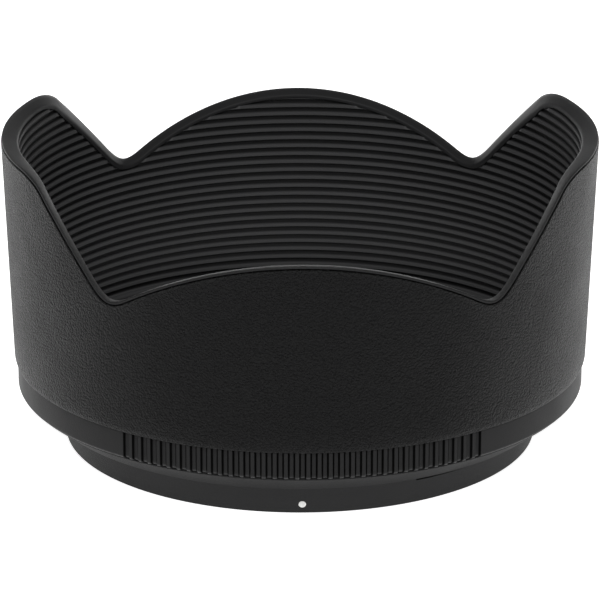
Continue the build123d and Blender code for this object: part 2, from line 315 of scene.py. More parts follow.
def outline_tree():
    """Height of the petal outline over a point that is so far across (X)."""
    inputs = {"Across": "Float", **{label: "Float" for label in OUTLINE}}
    tree, given = new_tree("petal_outline", inputs, {"Height": "Float"})

    def do(operation, *values):
        return calc(tree, operation, *values)

    def circle_rise(radius, offset):
        square = do("SUBTRACT", do("POWER", radius, 2.0), do("POWER", offset, 2.0))
        return do("SQRT", do("MAXIMUM", square, 0.0))

    arch_centre = do("SUBTRACT", given["Arch Height"], given["Arch Radius"])
    arch = do("ADD", arch_centre, circle_rise(given["Arch Radius"], given["Across"]))

    past_top = do("SUBTRACT", given["Side Gap"], do("ABSOLUTE", given["Across"]))
    flank = do("SUBTRACT", given["Side Height"], do("MULTIPLY", past_top, given["Flank Slope"]))
    # the rounded corner touches the flat top and the flank at equal distances from their meeting
    flank_angle = do("ARCTANGENT", given["Flank Slope"])
    reach = do(
        "MULTIPLY", given["Corner Radius"], do("TANGENT", do("MULTIPLY", flank_angle, 0.5))
    )
    into_corner = do("MAXIMUM", do("ADD", past_top, reach), 0.0)
    corner_end = do("MULTIPLY", given["Corner Radius"], do("SINE", flank_angle))
    corner_centre = do("SUBTRACT", given["Side Height"], given["Corner Radius"])
    rounded = do("ADD", corner_centre, circle_rise(given["Corner Radius"], into_corner))
    on_flank = do("GREATER_THAN", into_corner, corner_end)
    side = do("MULTIPLY_ADD", on_flank, do("SUBTRACT", flank, rounded), rounded)

    height = do("SMOOTH_MAX", arch, side, given["Notch Blend"])
    add_node(tree, "NodeGroupOutput", {"Height": height})
    return tree


def petal_wall_tree(outline):
    """Places a ring's points: each on its own cone, at its height or under the petal outline."""
    inputs = {
        "Geometry": "Geometry",
        **{label: "Float" for label in OUTLINE},
        "Cut Turn": "Float",
        "Finish": "Material",
    }
    tree, given = new_tree("petal_wall", inputs, {"Geometry": "Geometry"})

    def do(operation, *values):
        return calc(tree, operation, *values)

    turn = field(tree, "turn")
    base = field(tree, "cone_base")
    taper = field(tree, "cone_taper")

    def outline_height(across):
        node = add_node(tree, "GeometryNodeGroup", node_tree=outline)
        tree.links.new(across, node.inputs["Across"])
        for label in OUTLINE:
            tree.links.new(given[label], node.inputs[label])
        return node.outputs["Height"]

    def across_at(radius):
        return do("MULTIPLY", radius, do("SINE", do("RADIANS", turn)))

    # inner rows read the outline a little further out, so the cut edge faces partly outwards
    to_skin = do("SUBTRACT", SHELL_CONE[0], base)
    cut_base = do("MULTIPLY_ADD", to_skin, given["Cut Turn"], base)
    # the cone's radius depends on the height, so the outline is found in two steps
    first_radius = do("MULTIPLY_ADD", taper, given["Arch Height"], cut_base)
    first_height = outline_height(across_at(first_radius))
    across = across_at(do("MULTIPLY_ADD", taper, first_height, cut_base))
    edge = outline_height(across)

    # a depth under a sloping edge is measured square to the edge
    look = 0.1
    climb = do(
        "SUBTRACT",
        outline_height(do("ADD", across, look)),
        outline_height(do("SUBTRACT", across, look)),
    )
    slope = do("DIVIDE", climb, 2 * look)
    lean = do("SQRT", do("ADD", do("POWER", slope, 2.0), 1.0))
    limit = do("SUBTRACT", edge, do("MULTIPLY", field(tree, "drop"), lean))

    own_height = field(tree, "height")
    height = do("MINIMUM", own_height, limit)
    is_cut = do("GREATER_THAN", own_height, limit)
    cut_shift = do("MULTIPLY", is_cut, do("SUBTRACT", field(tree, "cut_base"), base))
    final_radius = do("MULTIPLY_ADD", taper, height, do("ADD", base, cut_shift))
    placed = add_node(
        tree,
        "GeometryNodeSetPosition",
        {
            "Geometry": given["Geometry"],
            "Position": polar_position(tree, turn, final_radius, height),
        },
    )
    merged = add_node(
        tree,
        "GeometryNodeMergeByDistance",
        {"Geometry": placed.outputs["Geometry"], "Distance": 0.002 * MM},
    )
    close_tree(tree, merged.outputs["Geometry"], given["Finish"])
    return tree


# a row's last two numbers are its shares of the painted edge highlight and of the painted light
# on the rib crests
Row = namedtuple(
    "Row", "base taper height drop cut_base wear coat", defaults=(0.0, None, 0.0, 0.0)
)


def petal_ring(rows, tree, material):
    """A wall that ends at the petal outline, from its section's rows."""
    turns = [360 * c / WALL_COLUMNS for c in range(WALL_COLUMNS)]
    base = ring_mesh("petal_ring", turns, [(row.base, row.height) for row in rows])
    write_field(base, "turn", [turn for turn in turns for _ in rows])
    fields = {
        "cone_base": [row.base for row in rows],
        "cone_taper": [row.taper for row in rows],
        "height": [row.height for row in rows],
        "drop": [row.drop for row in rows],
        "cut_base": [row.base if row.cut_base is None else row.cut_base for row in rows],
        "edge_highlight": [row.wear for row in rows],
        "coat": [row.coat for row in rows],
    }
    for name, values in fields.items():
        write_field(base, name, values * len(turns))
    mesh = grown(base, tree, {**OUTLINE, "Cut Turn": CUT_TURN, "Finish": material})
    for name in ("cone_base", "cone_taper", "height", "drop", "cut_base", "turn"):
        mesh.attributes.remove(mesh.attributes[name])
    return mesh


# ---------------------------------------------------------------- finishes
def in_millimetres(tree):
    """Object coordinates, one unit to the millimetre."""
    place = add_node(tree, "ShaderNodeTexCoord").outputs["Object"]
    return add_node(
        tree, "ShaderNodeMapping", {"Vector": place, "Scale": (1 / MM, 1 / MM, 1 / MM)}
    ).outputs["Vector"]


def noise(tree, place, scale, detail=3.0, roughness=0.55):
    return add_node(
        tree,
        "ShaderNodeTexNoise",
        {"Vector": place, "Scale": scale, "Detail": detail, "Roughness": roughness},
    ).outputs["Fac"]


def spread(tree, value, low, high, start=0.3, end=0.7):
    """A 0 to 1 pattern spread over a range."""
    node = add_node(
        tree,
        "ShaderNodeMapRange",
        {"Value": value, "From Min": start, "From Max": end, "To Min": low, "To Max": high},
    )
    return node.outputs["Result"]


def blended(tree, share, first, second):
    """Two colours mixed by a share."""
    node = add_node(tree, "ShaderNodeMix", data_type="RGBA")
    for index, value in ((0, share), (6, first), (7, second)):
        socket = node.inputs[index]
        if isinstance(value, bpy.types.NodeSocket):
            tree.links.new(value, socket)
        else:
            socket.default_value = value
    return node.outputs[2]


def grey(value, blue=1.0):
    return (value, value, value * blue, 1.0)


def moulded_black(name, colour, roughness, sheen, grain, highlight_colour, lit_crest_colour=None):
    """Moulded black plastic: a pebbled or sanded grain, uneven gloss and painted edge highlights.

    The sheen is how much it reflects face on and edge on, and between which tilts it changes.
    The grain is its size and depth in millimetres and how pebbled it is. The second colour
    is painted light that lightens part of the piece. The attributes say where rounded edges get
    a painted highlight, where that painted light lies and where painted shade darkens the colour.
    """
    grain_size, grain_depth, pebble = grain
    material = bpy.data.materials.new(name)
    material.use_nodes = True
    tree = material.node_tree
    shader = tree.nodes["Principled BSDF"]
    place = in_millimetres(tree)

    warp = add_node(
        tree, "ShaderNodeTexNoise", {"Vector": place, "Scale": 0.9 / grain_size, "Detail": 2.0}
    )
    bent = add_node(
        tree,
        "ShaderNodeVectorMath",
        {0: warp.outputs["Color"], 1: (grain_size * 0.7,) * 3, 2: place},
        operation="MULTIPLY_ADD",
    ).outputs["Vector"]
    cells = add_node(
        tree,
        "ShaderNodeTexVoronoi",
        {"Vector": bent, "Scale": 1 / grain_size, "Smoothness": 0.6},
        feature="SMOOTH_F1",
    ).outputs["Distance"]
    sand = noise(tree, place, 2.2 / grain_size, 4.0, 0.65)
    pebbles = calc(tree, "SUBTRACT", 1.0, cells)
    height = calc(
        tree, "MULTIPLY_ADD", pebbles, pebble, calc(tree, "MULTIPLY", sand, 1.0 - pebble)
    )
    bump = add_node(
        tree,
        "ShaderNodeBump",
        {"Height": height, "Strength": 1.0, "Distance": grain_depth * MM},
    )
    tree.links.new(bump.outputs["Normal"], shader.inputs["Normal"])

    patches = noise(tree, place, 0.09, 4.0, 0.6)
    # painted highlight on rounded edges, patchy by noise: a lighter colour and a lower roughness
    highlit_edges = add_node(tree, "ShaderNodeAttribute", attribute_name="edge_highlight").outputs["Fac"]
    highlight_share = calc(tree, "MULTIPLY", highlit_edges, spread(tree, noise(tree, place, 1.6), 0.25, 1.0))
    # darker in random patches and, as painted shade, in the grain's valleys
    tint = blended(
        tree,
        spread(tree, calc(tree, "MULTIPLY", patches, height), 0.0, 1.0, 0.1, 0.5),
        tuple(c * 0.82 for c in colour[:3]) + (1.0,),
        colour,
    )
    # painted shade: marked points turn near black and lose most of their reflection
    painted_shade = add_node(tree, "ShaderNodeAttribute", attribute_name="painted_shade").outputs["Fac"]
    # painted light: the marked rows, the rib crests, get the lighter second colour
    coat = add_node(tree, "ShaderNodeAttribute", attribute_name="coat").outputs["Fac"]
    crest_lit_tint = blended(tree, coat, tint, lit_crest_colour or colour)
    highlit_tint = blended(tree, highlight_share, crest_lit_tint, highlight_colour)
    tree.links.new(
        blended(tree, painted_shade, highlit_tint, (0.001, 0.001, 0.001, 1.0)), shader.inputs["Base Color"]
    )
    facing = add_node(tree, "ShaderNodeLayerWeight", {"Blend": 0.5}).outputs["Facing"]
    gloss = spread(tree, facing, *sheen)
    unshaded_share = calc(tree, "SUBTRACT", 1.0, calc(tree, "MULTIPLY", painted_shade, 0.9))
    tree.links.new(calc(tree, "MULTIPLY", gloss, unshaded_share), shader.inputs["Specular IOR Level"])
    uneven = spread(tree, patches, roughness - 0.04, roughness + 0.05)
    tree.links.new(
        calc(tree, "MULTIPLY_ADD", highlight_share, -0.14, uneven), shader.inputs["Roughness"]
    )
    shader.inputs["IOR"].default_value = 1.49
    return material


def enamel_white():
    """The dot's paint: slightly uneven in tone, with a faint bump."""
    material = bpy.data.materials.new("enamel_white")
    material.use_nodes = True
    tree = material.node_tree
    shader = tree.nodes["Principled BSDF"]
    place = in_millimetres(tree)
    mottle = spread(tree, noise(tree, place, 3.0), 0.0, 1.0)
    tint = blended(tree, mottle, (0.66, 0.66, 0.65, 1), (0.76, 0.76, 0.74, 1))
    tree.links.new(tint, shader.inputs["Base Color"])
    bump = add_node(
        tree,
        "ShaderNodeBump",
        {"Height": noise(tree, place, 5.0), "Strength": 0.5, "Distance": 0.01 * MM},
    )
    tree.links.new(bump.outputs["Normal"], shader.inputs["Normal"])
    shader.inputs["Roughness"].default_value = 0.4
    return material


def rolled_steel(name, colour, roughness):
    """Metal with fine rolling lines along its strip and a little staining."""
    material = bpy.data.materials.new(name)
    material.use_nodes = True
    tree = material.node_tree
    shader = tree.nodes["Principled BSDF"]
    place = in_millimetres(tree)
    drawn = add_node(
        tree, "ShaderNodeMapping", {"Vector": place, "Scale": (0.6, 0.6, 14.0)}
    ).outputs["Vector"]
    lines = noise(tree, drawn, 1.0, 5.0, 0.6)
    stain = noise(tree, place, 0.7, 3.0)
    dark = tuple(c * 0.75 for c in colour[:3]) + (1.0,)
    tree.links.new(
        blended(tree, spread(tree, stain, 0.0, 1.0), dark, colour), shader.inputs["Base Color"]
    )
    tree.links.new(
        spread(tree, lines, roughness - 0.08, roughness + 0.1), shader.inputs["Roughness"]
    )
    bump = add_node(
        tree, "ShaderNodeBump", {"Height": lines, "Strength": 0.4, "Distance": 0.01 * MM}
    )
    tree.links.new(bump.outputs["Normal"], shader.inputs["Normal"])
    shader.inputs["Metallic"].default_value = 1.0
    return material


GRAINED_BLACK = moulded_black(
    "grained_black",
    colour=grey(0.004, 1.06),
    roughness=0.50,
    sheen=(0.11, 0.34, 0.2, 0.8),
    grain=(0.36, 0.75, 0.75),
    # colour of the painted edge highlight
    highlight_colour=grey(0.012),
)
LINER_BLACK = moulded_black(
    "liner_black",
    colour=grey(0.014, 1.03),
    roughness=0.50,
    sheen=(0.08, 0.50, 0.76, 0.95),
    grain=(0.10, 0.006, 0.2),
    # colour of the painted edge highlight
    highlight_colour=grey(0.02),
    # painted light on the rib crests
    lit_crest_colour=grey(0.043, 1.02),
)
GRIP_BLACK = moulded_black(
    "grip_black",
    colour=grey(0.010, 1.03),
    roughness=0.50,
    sheen=(0.12, 0.12, 0.2, 0.8),
    grain=(0.26, 0.03, 0.5),
    # colour of the painted edge highlight
    highlight_colour=grey(0.02),
)
COLLAR_BLACK = moulded_black(
    "collar_black",
    colour=grey(0.022, 1.02),
    roughness=0.55,
    sheen=(0.10, 0.10, 0.2, 0.8),
    grain=(0.24, 0.08, 0.5),
    highlight_colour=grey(0.02),
)
INDEX_WHITE = enamel_white()
SPRING_STEEL = rolled_steel("spring_steel", grey(0.42), 0.32)
SCREW_BLACK = rolled_steel("screw_black", grey(0.05), 0.42)


# ---------------------------------------------------------------- skin and liner
def skin_rows():
    """The outer skin's section: hem, grained wall, rolled top edge, inner face."""
    base, taper = SHELL_CONE

    # a row's last number is its share of the painted edge highlight
    def low(inset, height, wear=0.0):
        return Row(base - inset, taper, height, 0.0, None, wear)

    def high(inset, drop, wear=0.0):
        return Row(base - inset, taper, FAR, drop, None, wear)

    top = CAP_THICKNESS + SEAM_GAP
    rows = [low(HEM_STEP + 0.25, SHELL_BOTTOM)]
    for angle in steps(-75, 0, 5):
        a = math.radians(angle)
        inset = HEM_STEP * (1 - math.cos(a))
        height = SHELL_BOTTOM + HEM_HEIGHT * (1 + math.sin(a))
        rows.append(low(inset, height, 0.25))
    rows += [low(0, height) for height in (18, 22, 26, 30, 33)]
    rows += [high(0, top + 1.6), high(0, top + 0.5)]
    edge = 0.12
    for angle in steps(0, 90, 3):
        a = math.radians(angle)
        rows.append(high(edge * (1 - math.cos(a)), top + edge * (1 - math.sin(a)), 0.5))
    rows += [high(SHELL_WALL - 0.2, top), high(SHELL_WALL, top + 0.2)]
    rows += [low(SHELL_WALL, 30), low(SHELL_WALL, SHELL_BOTTOM)]
    return rows


def rib_rows():
    """The liner's inside wall, from the top rib down, with cut ribs ending at one root."""
    base, taper = LIP_CONE
    crest = base + RIB_RECESS
    root = crest + RIB_DEPTH
    # each row's place along the pitch, its radius and its share of the painted light on the
    # crests
    section = ((0.71, root, 0.0), (0.29, root, 0.0), (0.16, crest, 1.0), (-0.16, crest, 1.0))
    rows = []
    for rib in reversed(range(RIB_COUNT)):
        middle = RIB_START + rib * RIB_PITCH
        for offset, radius, coat in section:
            height = middle + offset * RIB_PITCH
            rows.append(Row(radius, taper, height, RIM_THICKNESS, root, 0.0, coat))
    return rows


def liner_rows():
    """The liner's section: skirt, outer wall, rounded rim lip, ribs, floor."""
    base, taper = SHELL_CONE
    lip, lip_taper = LIP_CONE
    wall = SHELL_WALL + 0.05

    # a row's last number is its share of the painted edge highlight
    def level(radius, height, wear=0.0):
        return Row(radius, 0.0, height, 0.0, None, wear)

    def outer(inset, drop, wear=0.0):
        return Row(base - RIM_SETBACK - inset, taper, FAR, drop, None, wear)

    def inner(outset, drop, wear=0.0):
        return Row(lip + outset, lip_taper, FAR, drop, None, wear)

    rows = [
        level(SKIRT_RADIUS, FLANGE_TOP),
        level(SKIRT_RADIUS, GRIP_TOP),
        Row(base - wall, taper, 30),
        Row(base - wall, taper, FAR, CAP_THICKNESS),
        outer(0.3, CAP_THICKNESS),
    ]
    under = 0.12
    for angle in steps(-90, 0, 3):
        a = math.radians(angle)
        drop = CAP_THICKNESS - under * (1 + math.sin(a))
        rows.append(outer(under * (1 - math.cos(a)), drop, 0.2))
    edge = 0.16
    for angle in steps(0, 90, 4):
        a = math.radians(angle)
        rows.append(outer(edge * (1 - math.cos(a)), edge * (1 - math.sin(a)), 0.6))
    # the top face falls inwards, then rolls over into the ribbed wall
    rows += [outer(1.1, 0.14), inner(0.75, 0.44)]
    rows += [inner(0.55, 0.52), inner(0.42, 0.66), inner(0.34, 0.84), inner(0.32, RIM_THICKNESS)]
    rows += [Row(lip + RIB_RECESS + RIB_DEPTH, lip_taper, FAR, RIM_THICKNESS)]
    rows += rib_rows()
    rows += [level(lip + 0.35, FLOOR_TOP + 0.1), level(lip, FLOOR_TOP)]
    rows += [level(44, FLOOR_TOP), level(41.5, FLOOR_TOP)]
    rows += [level(r, z) for r, z in corner((FLOOR_BORE + 0.25, FLOOR_TOP - 0.25), 0.25, 90, 180)]
    rows += [level(FLOOR_BORE, FLANGE_TOP)]
    return rows


WALL_TREE = petal_wall_tree(outline_tree())
finished(
    "grained_skin",
    petal_ring(skin_rows(), WALL_TREE, GRAINED_BLACK),
    "hood",
    ["outer_shell"],
    GRAINED_BLACK,
    50,
)
finished(
    "rim_and_liner",
    petal_ring(liner_rows(), WALL_TREE, LINER_BLACK),
    "hood",
    ["ribbed_liner"],
    LINER_BLACK,
    65,
)


# ---------------------------------------------------------------- grip band
def serration_tree():
    """Presses evenly spaced grooves with sloping walls into the outside of a ring."""
    inputs = {
        "Geometry": "Geometry",
        "Outer Radius": "Float",
        "Groove Depth": "Float",
        "Groove Pitch": "Float",
        "Groove Width": "Float",
        "Wall Width": "Float",
        "Patch Half Turn": "Float",
        "Finish": "Material",
    }
    tree, given = new_tree("serrated_band", inputs, {"Geometry": "Geometry"})

    def do(operation, *values):
        return calc(tree, operation, *values)

    turn = field(tree, "turn")
    arc = do("MULTIPLY", do("RADIANS", turn), given["Outer Radius"])
    # the first patch is centred on turn 0 and the second on turn 180
    from_patch = do("PINGPONG", turn, 90.0)
    in_patch = do("LESS_THAN", from_patch, given["Patch Half Turn"])
    half_pitch = do("MULTIPLY", given["Groove Pitch"], 0.5)
    from_groove = do("PINGPONG", arc, half_pitch)
    half_groove = do("MULTIPLY", given["Groove Width"], 0.5)
    wall_end = do("ADD", half_groove, do("MULTIPLY", given["Wall Width"], 0.5))
    inside = do("SUBTRACT", wall_end, from_groove)
    share = do("MINIMUM", do("MAXIMUM", do("DIVIDE", inside, given["Wall Width"]), 0.0), 1.0)
    pressed = do("MULTIPLY", do("MULTIPLY", share, in_patch), field(tree, "pressed"))
    depth = do("MULTIPLY", pressed, given["Groove Depth"])
    radius = do("SUBTRACT", field(tree, "radius"), depth)
    placed = add_node(
        tree,
        "GeometryNodeSetPosition",
        {
            "Geometry": given["Geometry"],
            "Position": polar_position(tree, turn, radius, field(tree, "height")),
        },
    )
    close_tree(tree, placed.outputs["Geometry"], given["Finish"])
    return tree


def grip_turns(pitch, half_groove, half_wall):
    """Turns of the ring's columns: on every corner of every groove, and even elsewhere."""
    per_mm = 1 / (math.radians(1) * GRIP_RADIUS)
    ridge = pitch / 2
    corners = [
        0.0,
        (half_groove - half_wall) * per_mm,
        (half_groove - half_wall * 0.5) * per_mm,
        (half_groove + half_wall * 0.5) * per_mm,
        (half_groove + half_wall) * per_mm,
        ridge,
    ]
    turns = set()
    grooves = SERRATIONS_PER_PATCH // 2
    for middle in (0, 180):
        for groove in range(-grooves, grooves + 1):
            for offset in corners:
                for side in (-1, 1):
                    turns.add(round((middle + groove * pitch + side * offset) % 360, 6))
        edge = middle + (grooves + 0.5) * pitch
        free = 180 - 2 * (grooves + 0.5) * pitch
        turns.update(round(t % 360, 6) for t in steps(edge, edge + free, 80)[1:-1])
    return sorted(turns)


def groove_wall_shade(turn, pitch_mm, half_groove_mm):
    """1.0 in the middle of a groove's sloping wall, where shade is painted, or else 0.0."""
    from_patch = abs((turn + 90) % 180 - 90)
    arc = math.radians(from_patch) * GRIP_RADIUS
    from_groove = abs((arc + pitch_mm / 2) % pitch_mm - pitch_mm / 2)
    in_patch = arc < SERRATIONS_PER_PATCH * pitch_mm / 2
    return float(in_patch and abs(from_groove - half_groove_mm) < GROOVE_WALL * 0.4)


def grip_band():
    pitch = 360 / SERRATIONS_PER_TURN
    pitch_mm = math.radians(pitch) * GRIP_RADIUS
    groove_mm = pitch_mm * 0.5
    foot = GRIP_RADIUS - GRIP_EDGE
    pressed_section = corner((foot, GRIP_BOTTOM + GRIP_EDGE), GRIP_EDGE, -90, 0, 5)
    pressed_section += [(GRIP_RADIUS, GRIP_TOP - 0.25)]
    pressed_section += corner((GRIP_RADIUS - 0.12, GRIP_TOP - 0.12), 0.12, 0, 90, 2)
    plain_section = [
        (GRIP_INNER, GRIP_TOP),
        (GRIP_INNER, GRIP_BOTTOM + 2),
        (GRIP_INNER, GRIP_BOTTOM),
    ]
    section = pressed_section + plain_section
    turns = grip_turns(pitch, groove_mm / 2, GROOVE_WALL / 2)
    base = ring_mesh("grip_ring", turns, section)
    write_field(base, "turn", [turn for turn in turns for _ in section])
    write_field(base, "radius", [r for r, _ in section] * len(turns))
    write_field(base, "height", [z for _, z in section] * len(turns))
    marks = [1.0] * len(pressed_section) + [0.0] * len(plain_section)
    write_field(base, "pressed", marks * len(turns))
    # the rounded lower edge gets a painted highlight
    rounded = [1.0 if z < GRIP_BOTTOM + GRIP_EDGE and r > foot else 0.0 for r, z in section]
    write_field(base, "edge_highlight", rounded * len(turns))
    # painted shade on the groove walls
    shaded = [groove_wall_shade(turn, pitch_mm, groove_mm / 2) for turn in turns]
    write_field(base, "painted_shade", [dark * mark for dark in shaded for mark in marks])
    values = {
        "Outer Radius": GRIP_RADIUS,
        "Groove Depth": GROOVE_DEPTH,
        "Groove Pitch": pitch_mm,
        "Groove Width": groove_mm,
        "Wall Width": GROOVE_WALL,
        "Patch Half Turn": SERRATIONS_PER_PATCH * pitch / 2,
        "Finish": GRIP_BLACK,
    }
    mesh = grown(base, serration_tree(), values)
    for name in ("turn", "radius", "height", "pressed"):
        mesh.attributes.remove(mesh.attributes[name])
    return mesh


finished("serrated_band", grip_band(), "hood", ["grip_band"], GRIP_BLACK, 32)


# ---------------------------------------------------------------- bayonet collar
def sector_block(inner, outer, bottom, top, middle, span, count=24):
    """A closed block that is a piece of a ring."""
    turns = steps(middle - span / 2, middle + span / 2, count)
    section = [(inner, bottom), (outer, bottom), (outer, top), (inner, top)]
    points = [around(turn, r, z) for turn in turns for r, z in section]
    faces = [(3, 2, 1, 0)]
    for i in range(count):
        for k in range(4):
            a, b = i * 4 + k, i * 4 + (k + 1) % 4
            faces.append((a, b, b + 4, a + 4))
    last = count * 4
    faces.append((last, last + 1, last + 2, last + 3))
    return points, faces


def radial_rod(turn, start, end, radius, height, sides=24):
    """A closed rod that points outwards at that turn."""
    out = around(turn, 1, 0).normalized()
    along = Vector((-out.y, out.x, 0))
    points = []
    for reach in (start, end):
        for side in range(sides):
            a = 2 * math.pi * side / sides
            spot = out * reach + along * radius * math.cos(a)
            points.append((spot + Vector((0, 0, height + radius * math.sin(a)))) * MM)
    faces = [tuple(range(sides)), tuple(reversed(range(sides, 2 * sides)))]
    for side in range(sides):
        after = (side + 1) % sides
        faces.append((side, side + sides, after + sides, after))
    return points, faces


def tube_sides(sides, rings):
    """The faces between neighbouring rings that have that many points each."""
    faces = []
    for ring in range(rings - 1):
        for side in range(sides):
            after = (side + 1) % sides
            a, b = ring * sides + side, ring * sides + after
            faces.append((a, b, b + sides, a + sides))
    return faces


def joined(name, blocks):
    """One mesh of several closed blocks, their faces turned outwards."""
    points, faces = [], []
    for block_points, block_faces in blocks:
        start = len(points)
        points += block_points
        faces += [tuple(start + i for i in f) for f in block_faces]
    mesh = bpy.data.meshes.new(name)
    mesh.from_pydata(points, [], faces)
    build = bmesh.new()
    build.from_mesh(mesh)
    bmesh.ops.recalc_face_normals(build, faces=build.faces)
    build.to_mesh(mesh)
    build.free()
    return mesh


def collar():
    """The collar's ring, with its lugs added and its windows and spring pockets cut."""
    section = corner((COLLAR_RADIUS - COLLAR_EDGE, COLLAR_EDGE), COLLAR_EDGE, -90, -10, 4)
    section += [
        (COLLAR_TOP_RADIUS - 0.05, COLLAR_HEIGHT - SHOULDER_EDGE),
        (SHOULDER_START, COLLAR_HEIGHT),
    ]
    section += corner((SHOULDER_FOOT, COLLAR_HEIGHT + SHOULDER_EDGE), SHOULDER_EDGE, -90, -40, 3)
    section += corner(SHOULDER_TOP, SHOULDER_EDGE, -40, 90, 3)
    section += [(SKIRT_RADIUS, GRIP_BOTTOM), (SKIRT_RADIUS, FLANGE_TOP)]
    relief_corner = (RELIEF_RADIUS + RELIEF_EDGE, FLANGE_TOP - RELIEF_EDGE)
    section += corner(relief_corner, RELIEF_EDGE, 90, 180)
    section += [(RELIEF_RADIUS, LUG_BOTTOM), (BORE_RADIUS, LUG_BOTTOM)]
    section += corner((BORE_RADIUS + COLLAR_EDGE, COLLAR_EDGE), COLLAR_EDGE, 180, 270, 4)
    turns = [360 * c / COLLAR_COLUMNS for c in range(COLLAR_COLUMNS)]
    mesh = ring_mesh("collar", turns, section)
    lugs = [
        sector_block(LUG_TIP, RELIEF_RADIUS + 0.5, LUG_BOTTOM, LUG_TOP + 0.3, turn, LUG_SPAN)
        for turn in LUG_TURNS
    ]
    mesh = combined("collar", mesh, joined("lugs", lugs), "UNION")
    openings = [
        sector_block(LUG_TIP - 1, WINDOW_RADIUS, LUG_TOP, COLLAR_HEIGHT, turn, LUG_SPAN)
        for turn in LUG_TURNS
    ]
    openings += [
        sector_block(
            BORE_RADIUS - 1,
            POCKET_RADIUS,
            LEAF_BOTTOM - POCKET_MARGIN,
            LEAF_BOTTOM + LEAF_HEIGHT + POCKET_MARGIN,
            turn,
            LEAF_SPAN + 2 * POCKET_END_TURN,
        )
        for turn in LEAF_TURNS
    ]
    mesh = combined("collar", mesh, joined("openings", openings), "DIFFERENCE")
    middle = LEAF_BOTTOM + LEAF_HEIGHT / 2
    outer_face = LEAF_MIDDLE + LEAF_THICKNESS / 2
    posts = [
        radial_rod(
            turn - LEAF_SPAN / 2 + LEAF_SCREW_TURN,
            outer_face + LEAF_CLEARANCE,
            POCKET_RADIUS + 0.2,
            POST_RADIUS,
            middle,
        )
        for turn in LEAF_TURNS
    ]
    mesh = combined("collar", mesh, joined("posts", posts), "UNION")
    # the underside of the shoulder gets painted shade: darker and less reflective than the wall
    # below it
    shade_from_radius, shade_strength = 42.6, 0.45
    shoulder_shade = []
    for vertex in mesh.vertices:
        radius, height = math.hypot(vertex.co.x, vertex.co.y) / MM, vertex.co.z / MM
        shoulder_shade.append(shade_strength if radius > shade_from_radius and height < GRIP_BOTTOM + 0.1 else 0.0)
    write_field(mesh, "painted_shade", shoulder_shade)
    return mesh


finished("bayonet_ring", collar(), "hood", ["bayonet_collar"], COLLAR_BLACK, 30)


# ---------------------------------------------------------------- index dot
def index_dot():
    """A low dome of paint that sits in the leaning collar wall."""
    lean = math.atan2(COLLAR_TOP_RADIUS - COLLAR_RADIUS, COLLAR_HEIGHT - COLLAR_EDGE)
    wall = COLLAR_RADIUS + math.tan(lean) * (DOT_HEIGHT - COLLAR_EDGE)
    out = Vector((0, -math.cos(lean), -math.sin(lean)))
    up = Vector((0, -math.sin(lean), math.cos(lean)))
    profile = [(1.0, -0.25), (1.0, -0.02), (0.93, 0.015), (0.7, 0.035), (0.35, 0.045)]
    sides = 40
    points = []
    for share, rise in profile:
        for side in range(sides):
            a = 2 * math.pi * side / sides
            spot = Vector((1, 0, 0)) * DOT_RADIUS * share * math.cos(a)
            spot += up * DOT_RADIUS * share * math.sin(a)
            points.append((Vector((0, -wall, DOT_HEIGHT)) + spot + out * rise) * MM)
    faces = [tuple(range(sides)), tuple(range(len(points) - sides, len(points)))]
    faces += tube_sides(sides, len(profile))
    return joined("index_dot", [(points, faces)])


finished("index_mark", index_dot(), "hood", ["index_dot"], INDEX_WHITE, 60)


# ---------------------------------------------------------------- screws and springs
def turned_copies_tree():
    """Copies of a source piece, turned about the optical axis."""
    inputs = {
        "Geometry": "Geometry",
        "Source": "Object",
        "Count": "Int",
        "First Turn": "Float",
        "Turn Step": "Float",
        "Finish": "Material",
    }
    tree, given = new_tree("turned_copies", inputs, {"Geometry": "Geometry"})
    source = add_node(tree, "GeometryNodeObjectInfo", {"Object": given["Source"]})
    spots = add_node(tree, "GeometryNodePoints", {"Count": given["Count"]})
    index = add_node(tree, "GeometryNodeInputIndex").outputs["Index"]
    turn = calc(tree, "MULTIPLY_ADD", index, given["Turn Step"], given["First Turn"])
    rotation = add_node(tree, "ShaderNodeCombineXYZ", {"Z": calc(tree, "RADIANS", turn)})
    copies = add_node(
        tree,
        "GeometryNodeInstanceOnPoints",
        {
            "Points": spots.outputs["Points"],
            "Instance": source.outputs["Geometry"],
            "Rotation": rotation.outputs["Vector"],
        },
    )
    close_tree(tree, copies.outputs["Instances"], given["Finish"])
    return tree


TURNED_COPIES = turned_copies_tree()


def turned_copies(mesh, turns, finish):
    """One mesh of the same piece at evenly spaced turns."""
    source = new_object("source", mesh)
    values = {
        "Source": source,
        "Count": len(turns),
        "First Turn": turns[0],
        "Turn Step": turns[1] - turns[0],
        "Finish": finish,
    }
    result = grown(bpy.data.meshes.new("copies"), TURNED_COPIES, values)
    bpy.data.objects.remove(source)
    return result


def lathe(profile, sides, origin, axis, first):
    """A closed turned piece: (radius, rise) points about an axis, first being square to it."""
    second = axis.cross(first)
    points = []
    for radius, rise in profile:
        for side in range(sides):
            a = 2 * math.pi * side / sides
            offset = (first * math.cos(a) + second * math.sin(a)) * radius
            points.append((origin + offset + axis * rise) * MM)
    faces = [tuple(reversed(range(sides))), tuple(range(len(points) - sides, len(points)))]
    faces += tube_sides(sides, len(profile))
    return joined("lathe", [(points, faces)])


def box_block(origin, x_dir, y_dir, z_dir, size):
    """A closed block about its middle, for cutting screw slots."""
    points = []
    for k in (-0.5, 0.5):
        for i, j in ((-0.5, -0.5), (0.5, -0.5), (0.5, 0.5), (-0.5, 0.5)):
            spot = origin + x_dir * i * size[0] + y_dir * j * size[1] + z_dir * k * size[2]
            points.append(spot * MM)
    faces = [(3, 2, 1, 0), (4, 5, 6, 7)]
    faces += [(i, (i + 1) % 4, (i + 1) % 4 + 4, i + 4) for i in range(4)]
    return points, faces


